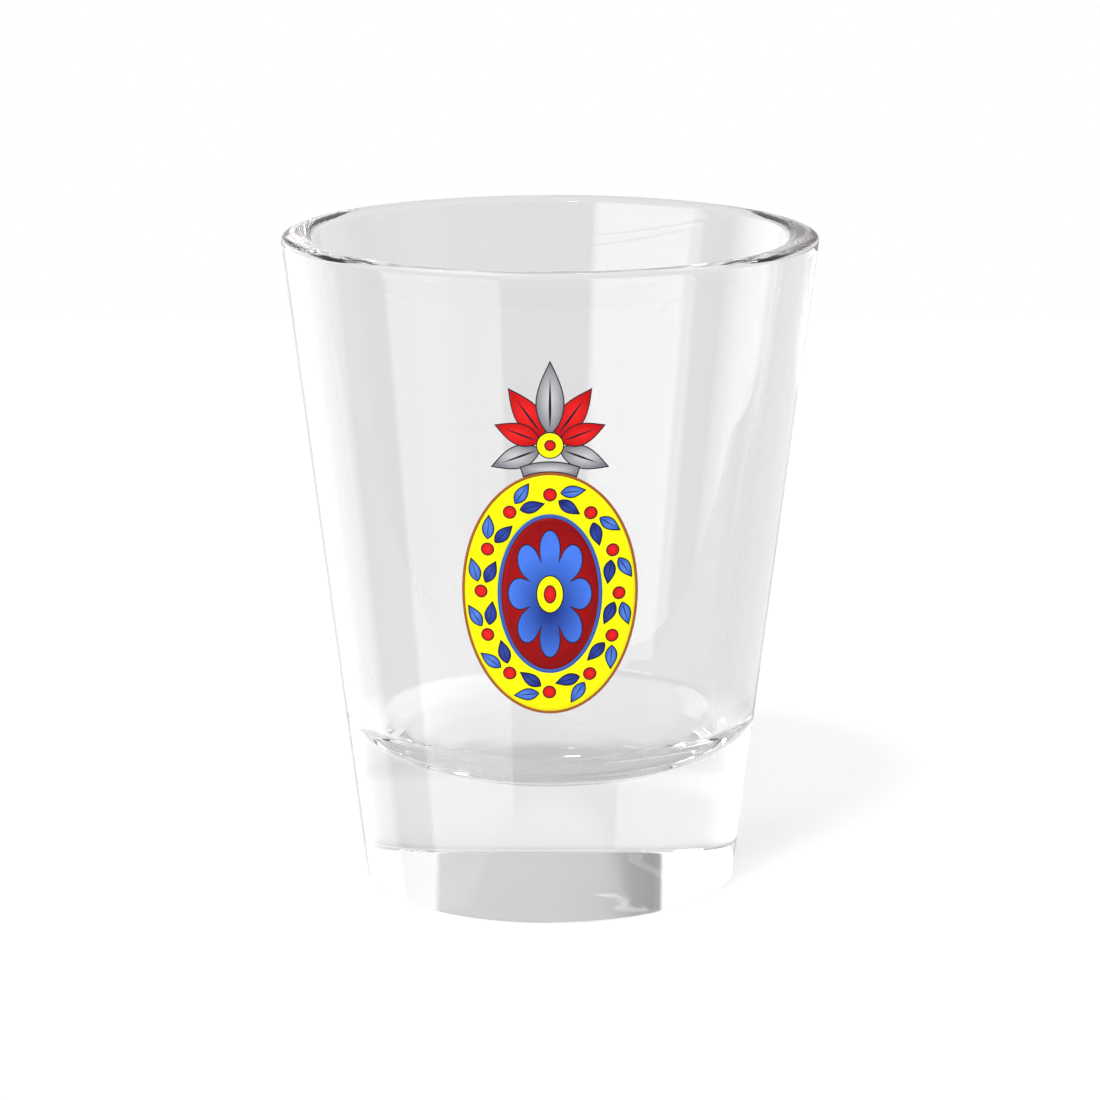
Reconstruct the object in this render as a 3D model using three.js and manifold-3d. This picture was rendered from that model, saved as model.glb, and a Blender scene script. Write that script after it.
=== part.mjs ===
// A heavy-bottomed shot glass with a fired colour decal on the front of its wall.
//
// The frame is +Z up, in millimetres, with the origin at the centre of the foot, on the surface
// that the glass stands on. The decal faces -Y. The glass is one pressed piece: a solid base with
// a flat foot, a tapered wall that rounds into the cup's bottom, and a rounded lip. The decal is
// laid down ink by ink, and every island of ink is a solid of its own: an outlined oval
// medallion, in which a garland of leaves and berries runs round a daisy, and a palmette above it.

import * as THREE from "three";
import { mergeVertices } from "three/addons/utils/BufferGeometryUtils.js";
import Module from "manifold-3d";

const wasm = await Module();
wasm.setup();

// ---------------------------------------------------------------- the glass

const HEIGHT = 60;
const RIM_RADIUS = 24.35; // of the outer cone, where it would reach the full height
const FOOT_RADIUS = 17.05; // of the outer cone, where it would reach the table
const LIP_THICKNESS = 2.8;
const LIP_RISE = 0.5; // of the rounded lip over the straight walls
const CAVITY_RADIUS = 15.7; // of the inner cone, at CAVITY_RADIUS_HEIGHT
const CAVITY_RADIUS_HEIGHT = 15;
const FLOOR_HEIGHT = 10.5; // the base is this thick on the axis
const BOWL_DEPTH = 5.5; // of the rounded bottom of the cup
const FOOT_EDGE = 0.3; // radius round the outside of the flat foot
const SEGMENTS = 96; // facets round the axis, the same for the glass and the decal

// ---------------------------------------------------------------- the decal
// Widths are measured round the wall, and heights up the axis.

const FILM = 0.04; // thickness of one deck of ink
const FILM_GAP = 0.02; // between the glass and the lowest deck, and between decks
const DECKS = 5;
const SEAM = 0.03; // between two inks side by side
const DECAL_BOTTOM = 19;
const DECAL_TOP = 54;

const MEDALLION_HEIGHT = 31.35; // of its centre
const MEDALLION = [7.85, 11.12]; // half width and half height, as for the other ovals
const MEDALLION_OUTLINE = 0.26;
const UNDERPRINT_INSET = 0.12; // the white stays inside the colours that it backs
const FIELD = [4.6, 7.33];
const FIELD_LINE = 0.34;

const DAISY = [3.7, 5.9];
const DAISY_PETALS = 8;
const DAISY_VALLEY = 0.56; // its radius between petals, as a share of the radius at their tips
const DAISY_EYE = [1.2, 1.75];
const DAISY_PIP = [0.55, 0.85];

const GARLAND_GROUPS = 12; // each has a berry and a pair of leaves
const BERRY_RADIUS = 0.6;
const LEAF_START = 0.82; // from the berry's centre to the leaves' stalk ends
const LEAF_APART = 0.34; // from the garland's line to a leaf's stalk end
const LEAF_LEAN = 0.36; // radians from the garland's line
const LEAF_SIZE = [2.3, 1.14]; // length and width, as for the other leaves

const BOSS_HEIGHT = 44.9;
const BOSS_RADIUS = 1.2;
const BOSS_PIP_RADIUS = 0.5;
const PALMETTE_START = 0.85; // from the boss's centre to the leaves' stalk ends
const SPEAR_SIZE = [6.73, 2.5];
const PALMETTE_SIDE = [
  { part: "upper_petal", deck: 0, angle: 0.62, size: [5.4, 2.3], colour: "red" },
  { part: "lower_petal", deck: 1, angle: 1.22, size: [4.3, 2.0], colour: "red" },
  { part: "side_leaf", deck: 0, angle: 1.82, size: [4.6, 2.1], colour: "grey" },
]; // each overlaps the next one, and its angle is in radians from the vertical
const COLLAR_WIDTH = 1.0;
const COLLAR_SPREAD = 0.3; // radians from the top of the medallion to each end of the collar

const COLOURS = {
  glass: 0xf4f7f6,
  white: 0xf6f6f2,
  brown: 0xa8642e,
  yellow: 0xfff200,
  steel: 0x4a78c0,
  blue: 0x3557b8,
  maroon: 0xa81218,
  red: 0xe3222a,
  grey: 0xa9abae,
};
const GLASS_OPACITY = 0.35;
const GLASS_ROUGHNESS = 0.05;
const INK_ROUGHNESS = 0.35;

// ---------------------------------------------------------------- profile of the glass

const wallSlope = (RIM_RADIUS - FOOT_RADIUS) / HEIGHT;
const wallLean = Math.atan(wallSlope);
const outerRadius = (z) => FOOT_RADIUS + wallSlope * z;

// Points of an elliptical arc in the profile, with both of its ends.
function arc([centreR, centreZ], [halfR, halfZ], from, to, steps) {
  return Array.from({ length: steps + 1 }, (_, i) => {
    const angle = from + ((to - from) * i) / steps;
    return new THREE.Vector2(centreR + halfR * Math.cos(angle), centreZ + halfZ * Math.sin(angle));
  });
}

function footEdgeProfile() {
  const centre = FOOT_RADIUS - FOOT_EDGE * (1 / Math.cos(wallLean) - wallSlope);
  return arc([centre, FOOT_EDGE], [FOOT_EDGE, FOOT_EDGE], -Math.PI / 2, -wallLean, 4);
}

function lipProfile() {
  const half = LIP_THICKNESS / 2;
  const low = HEIGHT - LIP_RISE;
  return arc([outerRadius(low) - half, low], [half, LIP_RISE], 0, Math.PI, 12);
}

// A quarter of an ellipse that runs on from the inner wall and is level on the axis.
function bowlProfile(lipFoot) {
  const slope = (lipFoot.x - CAVITY_RADIUS) / (lipFoot.y - CAVITY_RADIUS_HEIGHT);
  const middle = FLOOR_HEIGHT + BOWL_DEPTH;
  const wallRadius = CAVITY_RADIUS + slope * (middle - CAVITY_RADIUS_HEIGHT);
  const half = Math.sqrt(wallRadius ** 2 - (slope * BOWL_DEPTH) ** 2);
  const start = Math.atan((BOWL_DEPTH * slope) / half);
  return arc([0, middle], [half, BOWL_DEPTH], -start, -Math.PI / 2, 16).slice(0, -1);
}

function revolve(profile) {
  return new THREE.LatheGeometry(profile, SEGMENTS).rotateX(Math.PI / 2);
}

function glassGeometry() {
  const footCentre = new THREE.Vector2(0, 0);
  const floorCentre = new THREE.Vector2(0, FLOOR_HEIGHT);
  const lip = lipProfile();
  const bowl = bowlProfile(lip[lip.length - 1]);
  return revolve([footCentre, ...footEdgeProfile(), ...lip, ...bowl, floorCentre]);
}

// ---------------------------------------------------------------- films of ink

function toSolid(geometry) {
  const bare = geometry.clone();
  bare.deleteAttribute("normal");
  bare.deleteAttribute("uv");
  const merged = mergeVertices(bare);
  const vertProperties = merged.attributes.position.array;
  const triVerts = new Uint32Array(merged.index.array);
  return new wasm.Manifold(new wasm.Mesh({ numProp: 3, vertProperties, triVerts }));
}

function toGeometry(solid) {
  const mesh = solid.getMesh();
  return new THREE.BufferGeometry()
    .setAttribute("position", new THREE.BufferAttribute(mesh.vertProperties, 3))
    .setIndex(new THREE.BufferAttribute(mesh.triVerts, 1));
}

// The thin ring of space that one deck of ink may fill. Its facets follow the glass's facets.
function deckRing(deck) {
  const inner = (FILM_GAP + deck * (FILM + FILM_GAP)) / Math.cos(wallLean);
  const outer = inner + FILM / Math.cos(wallLean);
  const corners = [
    [DECAL_BOTTOM, inner],
    [DECAL_BOTTOM, outer],
    [DECAL_TOP, outer],
    [DECAL_TOP, inner],
    [DECAL_BOTTOM, inner],
  ];
  return toSolid(revolve(corners.map(([z, out]) => new THREE.Vector2(outerRadius(z) + out, z))));
}
const deckRings = Array.from({ length: DECKS }, (_, deck) => deckRing(deck));

// Flat points as they stand in front of the wall, so that they keep their width when wrapped.
function unwrapped(points) {
  return points.map(([u, z]) => {
    const radius = outerRadius(z);
    return new THREE.Vector2(radius * Math.sin(u / radius), z);
  });
}

function film(deck, outline, hole) {
  const shape = new THREE.Shape(unwrapped(outline));
  if (hole) shape.holes.push(new THREE.Path(unwrapped(hole)));
  const prism = new THREE.ExtrudeGeometry(shape, { depth: 2 * RIM_RADIUS, bevelEnabled: false });
  return toGeometry(deckRings[deck].intersect(toSolid(prism.rotateX(Math.PI / 2))));
}

// ---------------------------------------------------------------- flat figures

const FULL_TURN = 2 * Math.PI;
const shrink = (half, by) => half.map((length) => length - by);

function oval([halfWidth, halfHeight], height, steps = 60) {
  return Array.from({ length: steps }, (_, i) => {
    const angle = (FULL_TURN * i) / steps;
    return [halfWidth * Math.sin(angle), height - halfHeight * Math.cos(angle)];
  });
}

// Petals with round tips, joined in the middle. One petal points straight up.
function flower([halfWidth, halfHeight], height, petals, valley, stepsPerPetal = 10) {
  const steps = petals * stepsPerPetal;
  return Array.from({ length: steps }, (_, i) => {
    const angle = (FULL_TURN * i) / steps;
    const fullness = Math.sqrt(Math.abs(Math.cos((petals * angle) / 2)));
    const share = valley + (1 - valley) * fullness;
    return [halfWidth * share * Math.sin(angle), height + halfHeight * share * Math.cos(angle)];
  });
}

// A point at a distance from a start along a heading, then at a distance to its right.
// Headings are in radians from the vertical.
function step([u, z], heading, along, right = 0) {
  const [sin, cos] = [Math.sin(heading), Math.cos(heading)];
  return [u + along * sin + right * cos, z + along * cos - right * sin];
}

// A pointed leaf from its stalk end, fullest a little nearer its stalk than its tip.
function leaf(start, heading, [length, width], steps = 7) {
  const side = Array.from({ length: steps - 1 }, (_, i) => {
    const share = (i + 1) / steps;
    return [length * share, (width / 2) * Math.sin(Math.PI * share ** 0.8)];
  });
  const otherSide = side.map(([along, across]) => [along, -across]).reverse();
  const points = [[0, 0], ...side, [length, 0], ...otherSide];
  return points.map(([along, across]) => step(start, heading, along, across));
}

// ---------------------------------------------------------------- the garland's line

const bandHalf = shrink(MEDALLION, MEDALLION_OUTLINE);
const garlandHalf = bandHalf.map((length, i) => (length + FIELD[i]) / 2);

function garlandPoint(angle) {
  return [garlandHalf[0] * Math.sin(angle), MEDALLION_HEIGHT + garlandHalf[1] * Math.cos(angle)];
}

// Angles that part the garland's oval into equal lengths, clockwise from its top.
function evenAngles(count, steps = 720) {
  const lengths = [0];
  for (let i = 1; i <= steps; i++) {
    const [fromU, fromZ] = garlandPoint((FULL_TURN * (i - 1)) / steps);
    const [toU, toZ] = garlandPoint((FULL_TURN * i) / steps);
    lengths.push(lengths[i - 1] + Math.hypot(toU - fromU, toZ - fromZ));
  }
  const angleAt = (length) => (FULL_TURN * lengths.findIndex((reached) => reached >= length)) / steps;
  return Array.from({ length: count }, (_, i) => angleAt((lengths[steps] * i) / count));
}

// ---------------------------------------------------------------- the assembly

const root = new THREE.Group();

function addPiece(name, geometry, colour, roughness) {
  const material = new THREE.MeshStandardMaterial({ color: COLOURS[colour], roughness, metalness: 0 });
  if (colour === "glass") {
    material.transparent = true;
    material.opacity = GLASS_OPACITY;
  }
  const mesh = new THREE.Mesh(geometry, material);
  mesh.name = name;
  root.add(mesh);
}

function addInk(name, deck, colour, outline, hole) {
  addPiece(name, film(deck, outline, hole), colour, INK_ROUGHNESS);
}

function addMedallion() {
  const at = (half) => oval(half, MEDALLION_HEIGHT);
  const fieldHalf = shrink(FIELD, FIELD_LINE);
  addInk("medallion_underprint", 0, "white", at(shrink(MEDALLION, UNDERPRINT_INSET)));
  addInk("medallion_outline", 1, "brown", at(MEDALLION), at(bandHalf));
  addInk("medallion_band", 1, "yellow", at(shrink(bandHalf, SEAM)), at(FIELD));
  addInk("field_line", 1, "steel", at(shrink(FIELD, SEAM)), at(fieldHalf));
  addInk("field", 1, "maroon", at(shrink(fieldHalf, SEAM)));
}

function addDaisy() {
  addInk("daisy", 2, "blue", flower(DAISY, MEDALLION_HEIGHT, DAISY_PETALS, DAISY_VALLEY));
  addInk("daisy_eye", 3, "yellow", oval(DAISY_EYE, MEDALLION_HEIGHT, 24));
  addInk("daisy_pip", 4, "red", oval(DAISY_PIP, MEDALLION_HEIGHT, 16));
}

function addGarland() {
  const points = evenAngles(2 * GARLAND_GROUPS).map(garlandPoint);
  for (let group = 0; group < GARLAND_GROUPS; group++) {
    const number = String(group + 1).padStart(2, "0");
    const [[u, z], [nextU, nextZ]] = points.slice(2 * group, 2 * group + 2);
    const berry = oval([BERRY_RADIUS, BERRY_RADIUS], z, 16).map(([du, dz]) => [u + du, dz]);
    addInk(`berry_${number}`, 2, "red", berry);
    const heading = Math.atan2(nextU - u, nextZ - z);
    for (const [side, sign] of [["outer", -1], ["inner", 1]]) {
      const start = step([u, z], heading, LEAF_START, sign * LEAF_APART);
      const outline = leaf(start, heading + sign * LEAF_LEAN, LEAF_SIZE);
      addInk(`${side}_leaf_${number}`, 2, "blue", outline);
    }
  }
}

// A short band that follows the top of the medallion and carries the palmette.
function addCollar(steps = 16) {
  const edge = (offset) =>
    Array.from({ length: steps + 1 }, (_, i) => {
      const angle = COLLAR_SPREAD * ((2 * i) / steps - 1);
      const [halfWidth, halfHeight] = shrink(MEDALLION, -offset);
      return [halfWidth * Math.sin(angle), MEDALLION_HEIGHT + halfHeight * Math.cos(angle)];
    });
  addInk("palmette_collar", 1, "grey", [...edge(SEAM), ...edge(SEAM + COLLAR_WIDTH).reverse()]);
}

function addPalmette() {
  const centre = [0, BOSS_HEIGHT];
  const blade = (heading, size) => leaf(step(centre, heading, PALMETTE_START), heading, size, 10);
  addInk("palmette_spear", 1, "grey", blade(0, SPEAR_SIZE));
  for (const { part, deck, angle, size, colour } of PALMETTE_SIDE) {
    addInk(`palmette_${part}_left`, deck, colour, blade(-angle, size));
    addInk(`palmette_${part}_right`, deck, colour, blade(angle, size));
  }
  addInk("palmette_boss", 2, "yellow", oval([BOSS_RADIUS, BOSS_RADIUS], BOSS_HEIGHT, 24));
  addInk("palmette_boss_pip", 3, "red", oval([BOSS_PIP_RADIUS, BOSS_PIP_RADIUS], BOSS_HEIGHT, 16));
}

addPiece("glass_body", glassGeometry(), "glass", GLASS_ROUGHNESS);
addMedallion();
addDaisy();
addGarland();
addCollar();
addPalmette();

export default root;
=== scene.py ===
"""A heavy-bottomed shot glass with a fired flower decal, on a plain white floor.

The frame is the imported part's: +Z up, the origin at the centre of the foot, and the decal
on the front, towards -Y. Sizes are named in millimetres and built in metres.
"""

import math

import bpy
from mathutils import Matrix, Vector


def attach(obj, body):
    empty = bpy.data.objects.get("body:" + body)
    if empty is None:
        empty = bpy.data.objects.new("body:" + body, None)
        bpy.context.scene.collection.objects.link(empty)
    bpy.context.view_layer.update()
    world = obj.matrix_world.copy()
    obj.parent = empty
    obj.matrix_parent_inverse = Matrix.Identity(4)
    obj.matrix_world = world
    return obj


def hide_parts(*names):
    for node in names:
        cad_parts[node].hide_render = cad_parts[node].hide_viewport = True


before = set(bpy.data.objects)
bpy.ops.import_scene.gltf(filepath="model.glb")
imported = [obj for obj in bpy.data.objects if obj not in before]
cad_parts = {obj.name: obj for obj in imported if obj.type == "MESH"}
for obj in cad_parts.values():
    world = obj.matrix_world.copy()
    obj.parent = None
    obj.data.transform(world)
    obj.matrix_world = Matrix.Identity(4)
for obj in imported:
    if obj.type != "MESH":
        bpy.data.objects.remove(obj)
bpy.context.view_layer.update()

MM = 0.001
FULL_TURN = 2 * math.pi
HALF_TURN = math.pi
QUARTER_TURN = math.pi / 2

# ---------------------------------------------------------------- the glass

HEIGHT = 60
RIM_RADIUS = 24.35  # of the outer cone, where it would reach the full height
FOOT_RADIUS = 17.05  # of the outer cone, where it would reach the table
LIP_THICKNESS = 2.8
LIP_RISE = 0.5  # of the rounded lip over the straight walls
CAVITY_RADIUS = 15.7  # of the inner cone, at CAVITY_RADIUS_HEIGHT
CAVITY_RADIUS_HEIGHT = 15
BASE_THICKNESS = 10.5  # on the axis
BOWL_DEPTH = 5.5  # of the rounded bottom of the cup
RIPPLE_HEIGHT = 0.04  # of the faint rings in the bottom of the cup
RIPPLES = 6  # from the axis to the cup's wall
FOOT_EDGE = 0.3  # radius round the outside of the flat foot
GLASS_SEGMENTS = 288
ROW_HEIGHT = 0.8  # between two rows of faces on the straight walls
ARC_STEP = math.radians(4)
BOWL_STEP = math.radians(0.75)

WALL_SLOPE = (RIM_RADIUS - FOOT_RADIUS) / HEIGHT
WALL_LEAN = math.atan(WALL_SLOPE)


def outer_radius(z):
    """The outer wall's radius at a height."""
    return FOOT_RADIUS + WALL_SLOPE * z


def arc(centre_r, centre_z, radius, start, end):
    """Points of a circular arc in the profile, with both of its ends."""
    steps = max(2, math.ceil(abs(end - start) / ARC_STEP))
    angles = [start + (end - start) * i / steps for i in range(steps + 1)]
    return [(centre_r + radius * math.cos(a), centre_z + radius * math.sin(a)) for a in angles]


def partway(start, end, share):
    return tuple(a + (b - a) * share for a, b in zip(start, end))


def between(start, end):
    """Points inside a straight stretch of the profile, without its ends."""
    steps = math.ceil(math.dist(start, end) / ROW_HEIGHT)
    return [partway(start, end, i / steps) for i in range(1, steps)]


def foot_edge_profile():
    """The small round between the flat foot and the outer wall."""
    centre = FOOT_RADIUS - FOOT_EDGE * (1 / math.cos(WALL_LEAN) - WALL_SLOPE)
    return arc(centre, FOOT_EDGE, FOOT_EDGE, -QUARTER_TURN, -WALL_LEAN)


def lip_profile():
    """Half an ellipse, from the outer wall over the top to the inner wall."""
    half = LIP_THICKNESS / 2
    middle = outer_radius(HEIGHT - LIP_RISE) - half
    steps = math.ceil(HALF_TURN / ARC_STEP)
    angles = [HALF_TURN * i / steps for i in range(steps + 1)]
    low = HEIGHT - LIP_RISE
    return [(middle + half * math.cos(a), low + LIP_RISE * math.sin(a)) for a in angles]


def bowl_profile(lip_foot):
    """A quarter of an ellipse that runs on from the inner wall and is level on the axis.

    The ripples in it die away towards both of its ends.
    """
    slope = (lip_foot[0] - CAVITY_RADIUS) / (lip_foot[1] - CAVITY_RADIUS_HEIGHT)
    middle = BASE_THICKNESS + BOWL_DEPTH
    wall = CAVITY_RADIUS + slope * (middle - CAVITY_RADIUS_HEIGHT)
    half = math.sqrt(wall**2 - (slope * BOWL_DEPTH) ** 2)
    start = math.atan(BOWL_DEPTH * slope / half)
    steps = math.ceil((QUARTER_TURN - start) / BOWL_STEP)
    angles = [start + (QUARTER_TURN - start) * i / steps for i in range(steps)]
    ripples = [RIPPLE_HEIGHT * math.sin(4 * RIPPLES * a) * math.sin(2 * a) for a in angles]
    heights = [middle - BOWL_DEPTH * math.sin(a) + ripple for a, ripple in zip(angles, ripples)]
    return [(half * math.cos(a), z) for a, z in zip(angles, heights)]


def glass_profile():
    """Round the whole section, from the middle of the foot to the middle of the cup's floor."""
    lip = lip_profile()
    stretches = [[(0, 0)], foot_edge_profile(), lip, bowl_profile(lip[-1])]
    points = list(stretches[0])
    for stretch in stretches[1:]:
        points += between(points[-1], stretch[0])
        points += stretch
    return points + [(0, BASE_THICKNESS)]


# ---------------------------------------------------------------- meshes


def add_mesh(name, vertices, faces, materials, face_materials=None):
    """A smooth mesh from points in millimetres."""
    mesh = bpy.data.meshes.new(name)
    mesh.from_pydata([Vector(v) * MM for v in vertices], [], faces)
    for material in materials:
        mesh.materials.append(material)
    if face_materials:
        mesh.polygons.foreach_set("material_index", face_materials)
    mesh.shade_smooth()
    mesh.validate()
    piece = bpy.data.objects.new(name, mesh)
    bpy.context.scene.collection.objects.link(piece)
    return piece


def stands_for(piece, node):
    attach(piece, "root")
    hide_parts(node)


def add_glass(material):
    profile = glass_profile()
    rows = profile[1:-1]
    vertices = [(0, 0, profile[0][1])]
    for radius, z in rows:
        for i in range(GLASS_SEGMENTS):
            angle = FULL_TURN * i / GLASS_SEGMENTS
            vertices.append((radius * math.sin(angle), -radius * math.cos(angle), z))
    vertices.append((0, 0, profile[-1][1]))
    last = len(vertices) - 1
    faces = []
    for i in range(GLASS_SEGMENTS):
        after = (i + 1) % GLASS_SEGMENTS
        faces.append((0, 1 + after, 1 + i))
        for row in range(len(rows) - 1):
            low = 1 + row * GLASS_SEGMENTS
            high = low + GLASS_SEGMENTS
            faces.append((low + i, low + after, high + after, high + i))
        top = 1 + (len(rows) - 1) * GLASS_SEGMENTS
        faces.append((last, top + i, top + after))
    piece = add_mesh("glass_body_clear", vertices, faces, [material])
    stands_for(piece, "glass_body")


# ---------------------------------------------------------------- the decal

MEDALLION_HEIGHT = 31.35
MEDALLION = (7.85, 11.12)
MEDALLION_OUTLINE = 0.26
UNDERPRINT_INSET = 0.12
FIELD = (4.6, 7.33)
FIELD_LINE = 0.34
DAISY = (3.7, 5.9)
DAISY_PETALS = 8
DAISY_VALLEY = 0.56
DAISY_EYE = (1.2, 1.75)
DAISY_PIP = (0.55, 0.85)
GARLAND_GROUPS = 12
BERRY_RADIUS = 0.6
LEAF_START = 0.82
LEAF_APART = 0.34
LEAF_LEAN = 0.36
LEAF_SIZE = (2.3, 1.14)
BOSS_HEIGHT = 44.9
BOSS_RADIUS = 1.2
BOSS_PIP_RADIUS = 0.5
PALMETTE_START = 0.85
SPEAR_SIZE = (6.73, 2.5)
PALMETTE_SIDE = (
    ("upper_petal", 0, 0.62, (5.4, 2.3), "red"),
    ("lower_petal", 1, 1.22, (4.3, 2.0), "red"),
    ("side_leaf", 0, 1.95, (4.7, 2.1), "grey"),
)
COLLAR_WIDTH = 1.0
COLLAR_SPREAD = 0.3

DECK = 0.02  # thickness of one deck of ink
SUNK = 0.01  # how far the lowest deck bites into the glass, so that no air shows behind it
LINE = 0.1  # width of a dark line round a motif
VEIN = (0.1, 0.78, 0.09)  # of a leaf: where its vein starts and ends, and its share of the width
LEAF_TAPER = 0.8  # under 1, a leaf is fullest nearer its stalk than its tip
SHARPEST_NORMAL = 0.2  # edges whose normals add up to less than this double back at a tip
LONGEST_MITRE = 0.35  # the least cosine that a corner's inset is divided by

# How finely each outline is drawn, in points
OVAL_STEPS = 96
EYE_STEPS = 48
DOT_STEPS = 32
PETAL_STEPS = 24
LEAF_STEPS = 20
COLLAR_STEPS = 32
GARLAND_STEPS = 720

# How many rings of faces each film has, so that it follows the round wall
UNDERPRINT_RINGS = 16
FIELD_RINGS = 12
DAISY_RINGS = 10
BAND_RINGS = 6
PALMETTE_RINGS = 6
MOTIF_RINGS = 4
LINE_RINGS = 2


def on_wall(u, z, out):
    """A point of the decal: u is measured round the wall, and out is its height off the glass."""
    angle = u / outer_radius(z)
    radius = outer_radius(z) + out
    return (radius * math.sin(angle), -radius * math.cos(angle), z)


def middle_of(loop):
    return tuple(sum(values) / len(loop) for values in zip(*loop))


def add_film(node, deck, loops, materials, line_loops=0, closed_middle=True, vein=False):
    """A film of ink on the wall, from loops of (u, z) points, the outermost first.

    The rings of faces inside the first line_loops loops take the second material, and so
    does the middle of a film with a vein. The last loop is closed with a fan round its
    middle, or left open for a ring.
    """
    count = len(loops[0])
    low = DECK * deck if deck else -SUNK
    high = DECK * (deck + 1)
    flat = [point for loop in loops for point in loop]
    if closed_middle:
        flat.append(middle_of(loops[-1]))
    front = [on_wall(u, z, high) for u, z in flat]
    back = [on_wall(u, z, low) for u, z in flat]
    behind = len(flat)
    faces = []
    kinds = []
    for ring in range(len(loops) - 1):
        kind = 1 if ring < line_loops else 0
        for i in range(count):
            a, b = ring * count + i, ring * count + (i + 1) % count
            c, d = b + count, a + count
            faces.append((a, b, c, d))
            faces.append((behind + d, behind + c, behind + b, behind + a))
            kinds += [kind, kind]
    rims = [0] if closed_middle else [0, (len(loops) - 1) * count]
    for number, start in enumerate(rims):
        for i in range(count):
            a, b = start + i, start + (i + 1) % count
            rim = (a, behind + a, behind + b, b)
            faces.append(rim if number == 0 else rim[::-1])
            kinds.append(1 if line_loops else 0)
    if closed_middle:
        middle = len(flat) - 1
        start = (len(loops) - 1) * count
        for i in range(count):
            a, b = start + i, start + (i + 1) % count
            faces.append((a, b, middle))
            faces.append((behind + middle, behind + b, behind + a))
            kinds += [int(vein), int(vein)]
    piece = add_mesh(f"{node}_ink", front + back, faces, materials, kinds)
    stands_for(piece, node)


def shrink(half, by):
    return tuple(length - by for length in half)


def oval(half, middle, steps):
    """An oval loop, anticlockwise as seen from in front of the glass."""
    angles = [FULL_TURN * i / steps for i in range(steps)]
    return [(middle[0] + half[0] * math.cos(a), middle[1] + half[1] * math.sin(a)) for a in angles]


def flower(half, middle, petals, valley):
    """Petals with round tips, joined in the middle. One petal points straight up."""
    steps = petals * PETAL_STEPS
    loop = []
    for i in range(steps):
        angle = FULL_TURN * i / steps
        fullness = math.sqrt(abs(math.cos(petals * angle / 2)))
        share = valley + (1 - valley) * fullness
        u = middle[0] - half[0] * share * math.sin(angle)
        loop.append((u, middle[1] + half[1] * share * math.cos(angle)))
    return loop


def step(start, heading, along, right=0):
    """A point at a distance from a start along a heading in radians from the vertical."""
    sin, cos = math.sin(heading), math.cos(heading)
    return (start[0] + along * sin + right * cos, start[1] + along * cos - right * sin)


def leaf_outline(size):
    """Half of a pointed leaf: (share of its length, half its width there)."""
    shares = [i / LEAF_STEPS for i in range(1, LEAF_STEPS)]
    return [(share, size[1] / 2 * math.sin(math.pi * share**LEAF_TAPER)) for share in shares]


def leaf(start, heading, size):
    """A pointed leaf from its stalk end."""
    right = [(size[0] * share, across) for share, across in leaf_outline(size)]
    left = [(along, -across) for along, across in right]
    points = [(0, 0), *right, (size[0], 0), *left[::-1]]
    return [step(start, heading, along, across) for along, across in points]


def vein(start, heading, size):
    """The thin vein down the middle of the same leaf, point for point."""
    first, last, thin = VEIN
    outline = [(0, 0), *leaf_outline(size), (1, 0)]
    inset = [(first + (last - first) * share, across) for share, across in outline]
    right = [(size[0] * share, thin * across) for share, across in inset]
    left = [(along, -across) for along, across in right[1:-1]]
    return [step(start, heading, along, across) for along, across in right + left[::-1]]


def inward(loop, width):
    """An anticlockwise loop moved inward by a width, along the line between its two edges."""
    moved = []
    count = len(loop)
    for i, (u, z) in enumerate(loop):
        before, after = Vector(loop[i - 1]), Vector(loop[(i + 1) % count])
        here = Vector((u, z))
        first = (here - before).normalized()
        second = (after - here).normalized()
        normal = Vector((-first.y - second.y, first.x + second.x))
        if normal.length < SHARPEST_NORMAL:
            normal = (second - first).normalized() * 2
        normal.normalize()
        reach = width / max(LONGEST_MITRE, normal.dot(Vector((-first.y, first.x))))
        moved.append((u + normal.x * reach, z + normal.y * reach))
    return moved


def rings_to_middle(loop, count):
    """Loops between a loop and its middle, the middle itself left out."""
    middle = middle_of(loop)
    shares = [1 - i / count for i in range(count)]
    return [[partway(middle, point, share) for point in loop] for share in shares]


def rings_between(outer, inner, count):
    """Loops from one loop to another with as many points, both of them included."""
    shares = [i / count for i in range(count + 1)]
    return [[partway(a, b, share) for a, b in zip(outer, inner)] for share in shares]


def anticlockwise(loop):
    area = sum(a[0] * b[1] - b[0] * a[1] for a, b in zip(loop, loop[1:] + loop[:1]))
    return loop if area > 0 else loop[::-1]


def add_motif(node, deck, loop, materials, rings=MOTIF_RINGS):
    """A film with a dark line round it."""
    loop = anticlockwise(loop)
    loops = [loop, *rings_to_middle(inward(loop, LINE), rings)]
    add_film(node, deck, loops, materials, line_loops=1)


def add_leaf(node, deck, place, materials, rings=MOTIF_RINGS):
    """A film in a leaf's shape, with a dark line round it and a dark vein.

    Its place is where its stalk end is, its heading and its size.
    """
    loop = anticlockwise(leaf(*place))
    middle = anticlockwise(vein(*place))
    loops = [loop, *rings_between(inward(loop, LINE), middle, rings)]
    add_film(node, deck, loops, materials, line_loops=1, vein=True)


BAND = shrink(MEDALLION, MEDALLION_OUTLINE)
GARLAND = tuple((a + b) / 2 for a, b in zip(BAND, FIELD))
MEDALLION_MIDDLE = (0, MEDALLION_HEIGHT)


def garland_point(angle):
    return (GARLAND[0] * math.sin(angle), MEDALLION_HEIGHT + GARLAND[1] * math.cos(angle))


def even_angles(count):
    """Angles that part the garland's oval into equal lengths, clockwise from its top."""
    turns = [FULL_TURN * i / GARLAND_STEPS for i in range(GARLAND_STEPS + 1)]
    points = [garland_point(turn) for turn in turns]
    lengths = [0]
    for before, after in zip(points, points[1:]):
        lengths.append(lengths[-1] + math.dist(before, after))
    targets = [lengths[-1] * i / count for i in range(count)]
    return [next(turn for turn, n in zip(turns, lengths) if n >= target) for target in targets]


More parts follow.
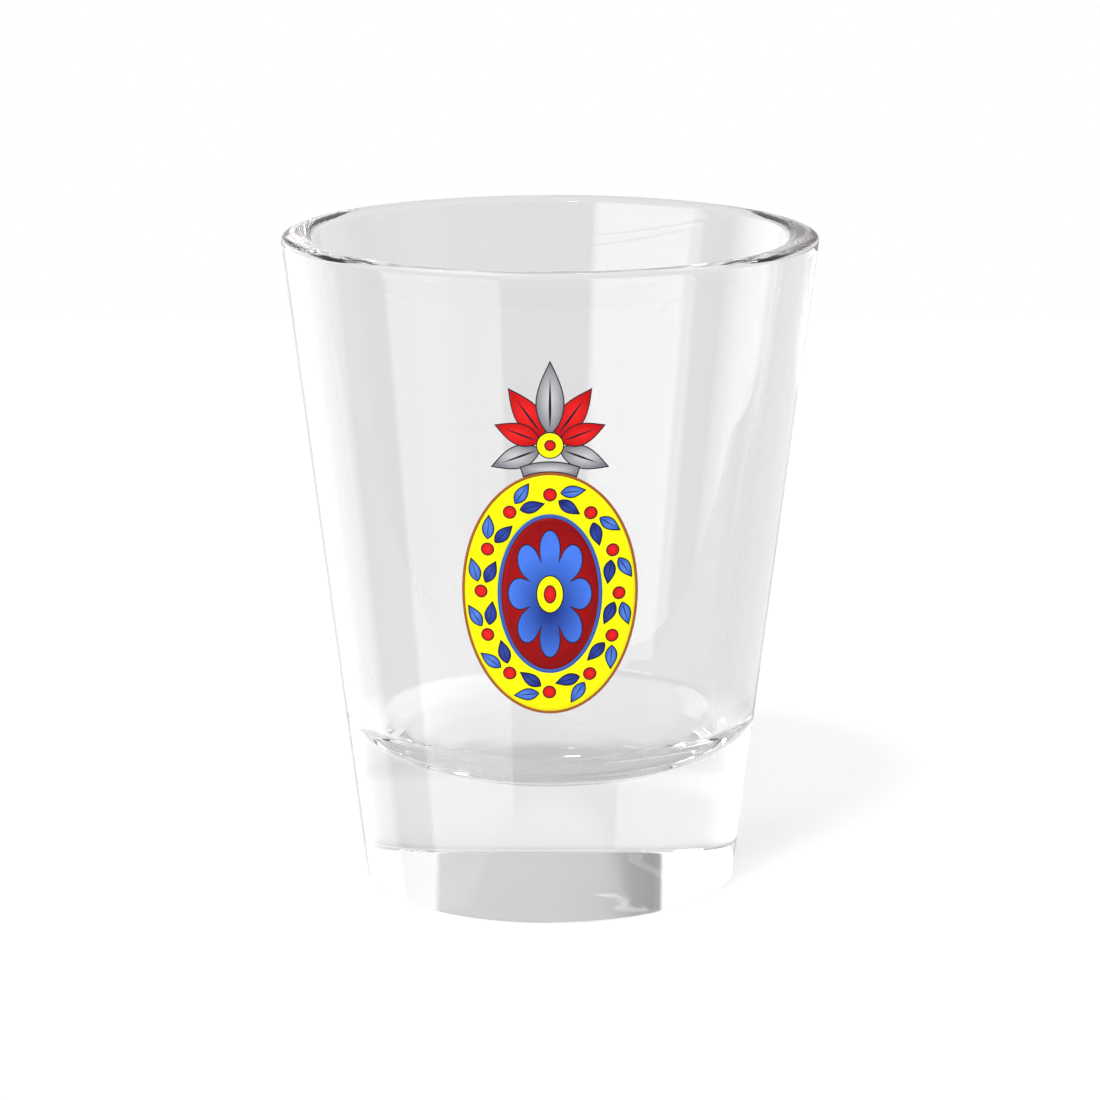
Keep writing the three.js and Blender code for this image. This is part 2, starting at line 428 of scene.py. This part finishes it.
def add_medallion(inks):
    field = shrink(FIELD, FIELD_LINE)

    def at(half):
        return oval(half, MEDALLION_MIDDLE, OVAL_STEPS)

    underprint = rings_to_middle(at(shrink(MEDALLION, UNDERPRINT_INSET)), UNDERPRINT_RINGS)
    add_film("medallion_underprint", 0, underprint, [inks["white"]])
    outline = rings_between(at(MEDALLION), at(BAND), LINE_RINGS)
    add_film("medallion_outline", 1, outline, [inks["brown"]], closed_middle=False)
    band = rings_between(at(BAND), at(FIELD), BAND_RINGS)
    add_film("medallion_band", 1, band, [inks["yellow"]], closed_middle=False)
    line = rings_between(at(FIELD), at(field), LINE_RINGS)
    add_film("field_line", 1, line, [inks["steel"]], closed_middle=False)
    inside = rings_to_middle(at(field), FIELD_RINGS)
    add_film("field", 1, inside, [inks["maroon"]])


def add_daisy(inks):
    petals = flower(DAISY, MEDALLION_MIDDLE, DAISY_PETALS, DAISY_VALLEY)
    add_motif("daisy", 2, petals, [inks["petal"], inks["line"]], DAISY_RINGS)
    eye = oval(DAISY_EYE, MEDALLION_MIDDLE, EYE_STEPS)
    add_motif("daisy_eye", 3, eye, [inks["yellow"], inks["line"]])
    pip = oval(DAISY_PIP, MEDALLION_MIDDLE, DOT_STEPS)
    add_motif("daisy_pip", 4, pip, [inks["red"], inks["line"]])


def add_garland(inks):
    angles = even_angles(2 * GARLAND_GROUPS)
    for number in range(1, GARLAND_GROUPS + 1):
        middle, after = [garland_point(a) for a in angles[2 * number - 2 : 2 * number]]
        berry = oval((BERRY_RADIUS, BERRY_RADIUS), middle, DOT_STEPS)
        add_motif(f"berry_{number:02d}", 2, berry, [inks["red"], inks["line"]])
        heading = math.atan2(after[0] - middle[0], after[1] - middle[1])
        for side, sign, colour in (("outer", -1, "blue"), ("inner", 1, "navy")):
            start = step(middle, heading, LEAF_START, sign * LEAF_APART)
            place = (start, heading + sign * LEAF_LEAN, LEAF_SIZE)
            node = f"{side}_leaf_{number:02d}"
            add_leaf(node, 2, place, [inks[colour], inks["line"]])


def add_collar(inks):
    """The piece between the medallion and the palmette, which follows the medallion's top."""

    def edge(offset):
        shares = [i / COLLAR_STEPS for i in range(COLLAR_STEPS + 1)]
        angles = [COLLAR_SPREAD * (2 * share - 1) for share in shares]
        wide, high = shrink(MEDALLION, -offset)
        return [(wide * math.sin(a), MEDALLION_HEIGHT + high * math.cos(a)) for a in angles]

    loop = edge(0) + edge(COLLAR_WIDTH)[::-1]
    add_motif("palmette_collar", 1, loop, [inks["grey"], inks["line"]])


def add_palmette(inks):
    middle = (0, BOSS_HEIGHT)

    def place(heading, size):
        return step(middle, heading, PALMETTE_START), heading, size

    grey = [inks["grey"], inks["line"]]
    add_leaf("palmette_spear", 1, place(0, SPEAR_SIZE), grey, PALMETTE_RINGS)
    for part, deck, angle, size, colour in PALMETTE_SIDE:
        for side, sign in (("left", -1), ("right", 1)):
            node = f"palmette_{part}_{side}"
            materials = [inks[colour], inks["line"]]
            add_leaf(node, deck, place(sign * angle, size), materials, PALMETTE_RINGS)
    boss = oval((BOSS_RADIUS, BOSS_RADIUS), middle, EYE_STEPS)
    add_motif("palmette_boss", 2, boss, [inks["yellow"], inks["line"]])
    pip = oval((BOSS_PIP_RADIUS, BOSS_PIP_RADIUS), middle, DOT_STEPS)
    add_motif("palmette_boss_pip", 3, pip, [inks["red"], inks["line"]])


# ---------------------------------------------------------------- materials


WHITE = (1, 1, 1, 1)
GLASS_INDEX = 1.3
GLASS_SHADE = (0.7, 0.7, 0.7, 1)  # what passes of a lamp's light
INK_ROUGHNESS = 0.45
INK_SHEEN = 0.12
GRAIN_SCALE = 2500  # per metre
GRAIN = 0.06  # how far the grain takes the brightness up and down, as a share of it


def new_material(name):
    material = bpy.data.materials.new(name)
    material.use_nodes = True
    nodes = material.node_tree.nodes
    nodes.clear()
    output = nodes.new("ShaderNodeOutputMaterial")
    return material, nodes, material.node_tree.links, output


def glass_material():
    """Clear glass that bends what is seen through it.

    Lamps and bounced light pass straight through it, and only the lamps are dimmed.
    """
    material, nodes, links, output = new_material("clear_glass")
    glass = nodes.new("ShaderNodeBsdfPrincipled")
    glass.inputs["Base Color"].default_value = WHITE
    glass.inputs["Roughness"].default_value = 0.0
    glass.inputs["IOR"].default_value = GLASS_INDEX
    glass.inputs["Specular IOR Level"].default_value = 1.0
    glass.inputs["Transmission Weight"].default_value = 1.0
    path = nodes.new("ShaderNodeLightPath")
    shade = nodes.new("ShaderNodeBsdfTransparent")
    shade.inputs["Color"].default_value = GLASS_SHADE
    clear = nodes.new("ShaderNodeBsdfTransparent")
    for_lamps = nodes.new("ShaderNodeMixShader")
    for_bounces = nodes.new("ShaderNodeMixShader")
    links.new(path.outputs["Is Shadow Ray"], for_lamps.inputs[0])
    links.new(glass.outputs["BSDF"], for_lamps.inputs[1])
    links.new(shade.outputs["BSDF"], for_lamps.inputs[2])
    links.new(path.outputs["Is Diffuse Ray"], for_bounces.inputs[0])
    links.new(for_lamps.outputs["Shader"], for_bounces.inputs[1])
    links.new(clear.outputs["BSDF"], for_bounces.inputs[2])
    links.new(for_bounces.outputs["Shader"], output.inputs["Surface"])
    return material


def ink_material(name, middle, edge, centre=0.5):
    """Fired enamel: its colour runs from the middle of the piece to its edge, with a fine grain.

    Centre is how high in the piece its middle colour lies, as a share of the piece's height.
    """
    material, nodes, links, output = new_material(name)
    shader = nodes.new("ShaderNodeBsdfPrincipled")
    shader.inputs["Roughness"].default_value = INK_ROUGHNESS
    shader.inputs["Specular IOR Level"].default_value = INK_SHEEN
    place = nodes.new("ShaderNodeTexCoord")
    blend = nodes.new("ShaderNodeTexGradient")
    blend.gradient_type = "SPHERICAL"
    # The gradient is 1 at the centre and falls to 0 at half the piece's width from it
    spread = nodes.new("ShaderNodeMapping")
    spread.inputs["Location"].default_value = (-1, -0.5, -2 * centre)
    spread.inputs["Scale"].default_value = (2, 1, 2)
    links.new(place.outputs["Generated"], spread.inputs["Vector"])
    links.new(spread.outputs["Vector"], blend.inputs["Vector"])
    ramp = nodes.new("ShaderNodeMix")
    ramp.data_type = "RGBA"
    ramp.inputs["A"].default_value = (*edge, 1)
    ramp.inputs["B"].default_value = (*middle, 1)
    links.new(blend.outputs["Fac"], ramp.inputs["Factor"])
    grain = nodes.new("ShaderNodeTexNoise")
    grain.inputs["Scale"].default_value = GRAIN_SCALE
    links.new(place.outputs["Object"], grain.inputs["Vector"])
    tone = nodes.new("ShaderNodeMapRange")
    tone.inputs["To Min"].default_value = 1 - GRAIN
    tone.inputs["To Max"].default_value = 1 + GRAIN
    links.new(grain.outputs["Fac"], tone.inputs["Value"])
    grained = nodes.new("ShaderNodeVectorMath")
    grained.operation = "SCALE"
    links.new(ramp.outputs["Result"], grained.inputs["Vector"])
    links.new(tone.outputs["Result"], grained.inputs["Scale"])
    links.new(grained.outputs["Vector"], shader.inputs["Base Color"])
    links.new(shader.outputs["BSDF"], output.inputs["Surface"])
    return material


def linear(red, green, blue):
    """A colour for a shader, from its sRGB values, 0 to 255."""
    shares = [value / 255 for value in (red, green, blue)]
    return tuple(s / 12.92 if s <= 0.04045 else ((s + 0.055) / 1.055) ** 2.4 for s in shares)


def ink_materials():
    return {
        "white": ink_material("white_ink", linear(248, 248, 245), linear(240, 240, 236)),
        "brown": ink_material("brown_ink", linear(176, 106, 52), linear(160, 92, 40)),
        "yellow": ink_material("yellow_ink", linear(255, 255, 0), linear(252, 248, 0)),
        "steel": ink_material("steel_ink", linear(74, 120, 200), linear(52, 94, 176)),
        "maroon": ink_material("maroon_ink", linear(190, 4, 8), linear(140, 0, 4)),
        "blue": ink_material("blue_ink", linear(92, 138, 226), linear(48, 88, 190)),
        "navy": ink_material("navy_ink", linear(48, 76, 172), linear(22, 34, 116)),
        "petal": ink_material("petal_ink", linear(4, 8, 96), linear(70, 120, 228), 0.36),
        "red": ink_material("red_ink", linear(238, 34, 34), linear(190, 6, 10)),
        "grey": ink_material("grey_ink", linear(206, 206, 208), linear(120, 120, 126)),
        "line": ink_material("line_ink", linear(34, 28, 44), linear(30, 26, 40)),
    }


# ---------------------------------------------------------------- the studio

FLOOR_HALF = 300
FLOOR_DROP = 0.02  # under the foot
FLOOR_GREY = 0.8
PAINTED_SHADE_REACH = 0.1  # metres
# Painted shade on the floor where it is seen through the glass, darkest under the foot as a
# painted contact shadow: (share of the reach above from the foot's middle, grey)
FLOOR_PAINTED_SHADE_THROUGH_GLASS = ((0, 0.52), (0.165, 0.52), (0.2, 0.71), (0.5, 0.71), (0.6, 0.583))

CAMERA_AIM = 30.454  # height of the point it looks at
CAMERA_DISTANCE = 382.28
CAMERA_ELEVATION = math.radians(13.048)
CAMERA_CLIP = 0.01  # metres
LENS = 136.05
SENSOR = 36.0

SUN_STRENGTH = 1.3
SUN_WIDTH = math.radians(10)
SUN_DIRECTION = (0.20, 0.50, -0.84)  # of its light: from the upper left, in front of the glass

# The panels round the studio, which only mirror rays see:
# (degrees from the camera's side round to the picture's right, brightness)
PANELS = (
    (-180, 0.9),
    (-161.5, 0.9),
    (-161.4, 1.2),
    (-150, 3.0),
    (-112, 2.7),
    (-104, 0.0),
    (-78, 0.0),
    (-75, 5.0),
    (-22, 5.0),
    (-21, 0.0),
    (50, 0.0),
    (56, 0.6),
    (72, 0.6),
    (80, 0.1),
    (110, 0.1),
    (126, 0.8),
    (142, 1.0),
    (161.4, 1.0),
    (161.5, 0.60),
    (180, 0.58),
)
# The panels over those, which show in the base
UPPER_PANELS = (
    (-180, 0.58),
    (-172, 0.54),
    (-167, 0.38),
    (-163, 0.34),
    (-161.5, 0.42),
    (-161.4, 1.2),
    (-150, 3.0),
    (-112, 2.7),
    (-104, 0.5),
    (50, 0.5),
    (60, 0.8),
    (126, 0.8),
    (142, 1.0),
    (161.4, 1.0),
    (161.5, 0.60),
    (180, 0.58),
)
# How much the panels cover: (height of the direction, from -1 down to 1 up, share)
BELT = ((-0.506, 0), (-0.5, 1), (0.18, 1), (0.22, 0))
UPPER_BELT = ((0, 0), (0.01, 1), (0.45, 1), (0.55, 0))
# What mirror rays see over and under the panels: (height of the direction, brightness)
BEYOND = ((-0.7, 0.9), (-0.6, 3.4), (-0.5, 3.4), (-0.4, 0.6))

# Painted shade: the white background, drawn light grey for rays that have passed through glass
BACKDROP_PAINTED_SHADE_THROUGH_GLASS = (0.77, 0.77, 0.77, 1)

BOUNCES = 24


def ramp_of(nodes, stops):
    """A grey ramp with stops at (share, grey)."""
    node = nodes.new("ShaderNodeValToRGB")
    ramp = node.color_ramp
    while len(ramp.elements) < len(stops):
        ramp.elements.new(0.5)
    for element, (share, grey) in zip(ramp.elements, stops):
        element.position = share
        element.color = (grey, grey, grey, 1)
    return node


def add_floor():
    """A white floor with painted shade where it is seen through the glass, darkest under the foot
    as a painted contact shadow. Mirror rays don't see it.
    """
    corners = [(-1, -1), (1, -1), (1, 1), (-1, 1)]
    vertices = [(FLOOR_HALF * x, FLOOR_HALF * y, -FLOOR_DROP) for x, y in corners]
    material, nodes, links, output = new_material("white_floor")
    shader = nodes.new("ShaderNodeBsdfDiffuse")
    path = nodes.new("ShaderNodeLightPath")
    through = nodes.new("ShaderNodeMath")
    through.operation = "MINIMUM"
    through.inputs[1].default_value = 1
    place = nodes.new("ShaderNodeTexCoord")
    length = nodes.new("ShaderNodeVectorMath")
    length.operation = "LENGTH"
    share = nodes.new("ShaderNodeMath")
    share.operation = "DIVIDE"
    share.inputs[1].default_value = PAINTED_SHADE_REACH
    # Painted shade: the floor is drawn greyer through the glass, with a painted contact shadow
    # under the foot
    painted_floor_shade = ramp_of(nodes, FLOOR_PAINTED_SHADE_THROUGH_GLASS)
    colour = nodes.new("ShaderNodeMix")
    links.new(place.outputs["Object"], length.inputs[0])
    links.new(length.outputs["Value"], share.inputs[0])
    links.new(share.outputs[0], painted_floor_shade.inputs["Fac"])
    links.new(path.outputs["Transmission Depth"], through.inputs[0])
    links.new(through.outputs[0], colour.inputs["Factor"])
    colour.inputs["A"].default_value = FLOOR_GREY
    links.new(painted_floor_shade.outputs["Color"], colour.inputs["B"])
    links.new(colour.outputs["Result"], shader.inputs["Color"])
    links.new(shader.outputs["BSDF"], output.inputs["Surface"])
    floor = add_mesh("floor", vertices, [(0, 1, 2, 3)], [material])
    floor.visible_glossy = False


def add_camera():
    data = bpy.data.cameras.new("camera")
    data.lens = LENS
    data.sensor_width = SENSOR
    data.clip_start = CAMERA_CLIP
    camera = bpy.data.objects.new("camera", data)
    back = CAMERA_DISTANCE * math.cos(CAMERA_ELEVATION)
    rise = CAMERA_AIM + CAMERA_DISTANCE * math.sin(CAMERA_ELEVATION)
    camera.location = Vector((0, -back, rise)) * MM
    camera.rotation_euler = (QUARTER_TURN - CAMERA_ELEVATION, 0, 0)
    bpy.context.scene.collection.objects.link(camera)
    bpy.context.scene.camera = camera


def add_sun():
    data = bpy.data.lights.new("key", "SUN")
    data.energy = SUN_STRENGTH
    data.angle = SUN_WIDTH
    sun = bpy.data.objects.new("key", data)
    sun.rotation_euler = Vector(SUN_DIRECTION).to_track_quat("-Z", "Y").to_euler()
    bpy.context.scene.collection.objects.link(sun)


def add_world():
    """White to the camera, a painted grey shade through the glass, and panels to mirror rays."""
    world = bpy.data.worlds.new("studio")
    bpy.context.scene.world = world
    world.use_nodes = True
    nodes, links = world.node_tree.nodes, world.node_tree.links
    nodes.clear()
    output = nodes.new("ShaderNodeOutputWorld")
    place = nodes.new("ShaderNodeTexCoord")
    split = nodes.new("ShaderNodeSeparateXYZ")
    links.new(place.outputs["Generated"], split.inputs["Vector"])

    def math_node(operation, *values):
        node = nodes.new("ShaderNodeMath")
        node.operation = operation
        for socket, value in zip(node.inputs, values):
            if isinstance(value, (int, float)):
                socket.default_value = value
            else:
                links.new(value, socket)
        return node.outputs[0]

    def mix(factor, first, second):
        node = nodes.new("ShaderNodeMix")
        node.data_type = "RGBA"
        for name, value in (("Factor", factor), ("A", first), ("B", second)):
            if isinstance(value, tuple):
                node.inputs[name].default_value = value
            else:
                links.new(value, node.inputs[name])
        return node.outputs["Result"]

    toward = math_node("MULTIPLY", split.outputs["Y"], -1.0)
    turn = math_node("ARCTAN2", split.outputs["X"], toward)
    share = math_node("MULTIPLY_ADD", turn, 1 / FULL_TURN, 0.5)
    height = math_node("MULTIPLY_ADD", split.outputs["Z"], 0.5, 0.5)
    beyond = ramp_of(nodes, [((z + 1) / 2, grey) for z, grey in BEYOND])
    links.new(height, beyond.inputs["Fac"])
    studio = beyond.outputs["Color"]
    for panels, belt in ((UPPER_PANELS, UPPER_BELT), (PANELS, BELT)):
        around = ramp_of(nodes, [((degrees + 180) / 360, grey) for degrees, grey in panels])
        links.new(share, around.inputs["Fac"])
        shown = ramp_of(nodes, [((z + 1) / 2, part) for z, part in belt])
        links.new(height, shown.inputs["Fac"])
        studio = mix(shown.outputs["Color"], studio, around.outputs["Color"])
    path = nodes.new("ShaderNodeLightPath")
    bounced = path.outputs["Is Diffuse Ray"]
    mirrored = math_node("MINIMUM", path.outputs["Glossy Depth"], 1.0)
    through = math_node("MINIMUM", path.outputs["Transmission Depth"], 1.0)
    # Painted shade: rays that have passed through the glass see the backdrop grey instead of white
    painted_shade_behind_glass = math_node("SUBTRACT", through, bounced)
    backdrop = mix(painted_shade_behind_glass, WHITE, BACKDROP_PAINTED_SHADE_THROUGH_GLASS)
    in_mirror = math_node("SUBTRACT", mirrored, bounced)
    seen = mix(in_mirror, backdrop, studio)
    shader = nodes.new("ShaderNodeBackground")
    links.new(seen, shader.inputs["Color"])
    links.new(shader.outputs["Background"], output.inputs["Surface"])


inks = ink_materials()
add_glass(glass_material())
add_medallion(inks)
add_daisy(inks)
add_garland(inks)
add_collar(inks)
add_palmette(inks)
add_floor()
add_camera()
add_sun()
add_world()
bpy.context.scene.view_settings.view_transform = "Standard"
cycles = bpy.context.scene.cycles
cycles.max_bounces = BOUNCES
cycles.transmission_bounces = BOUNCES
cycles.glossy_bounces = BOUNCES
cycles.sampling_pattern = "TABULATED_SOBOL"
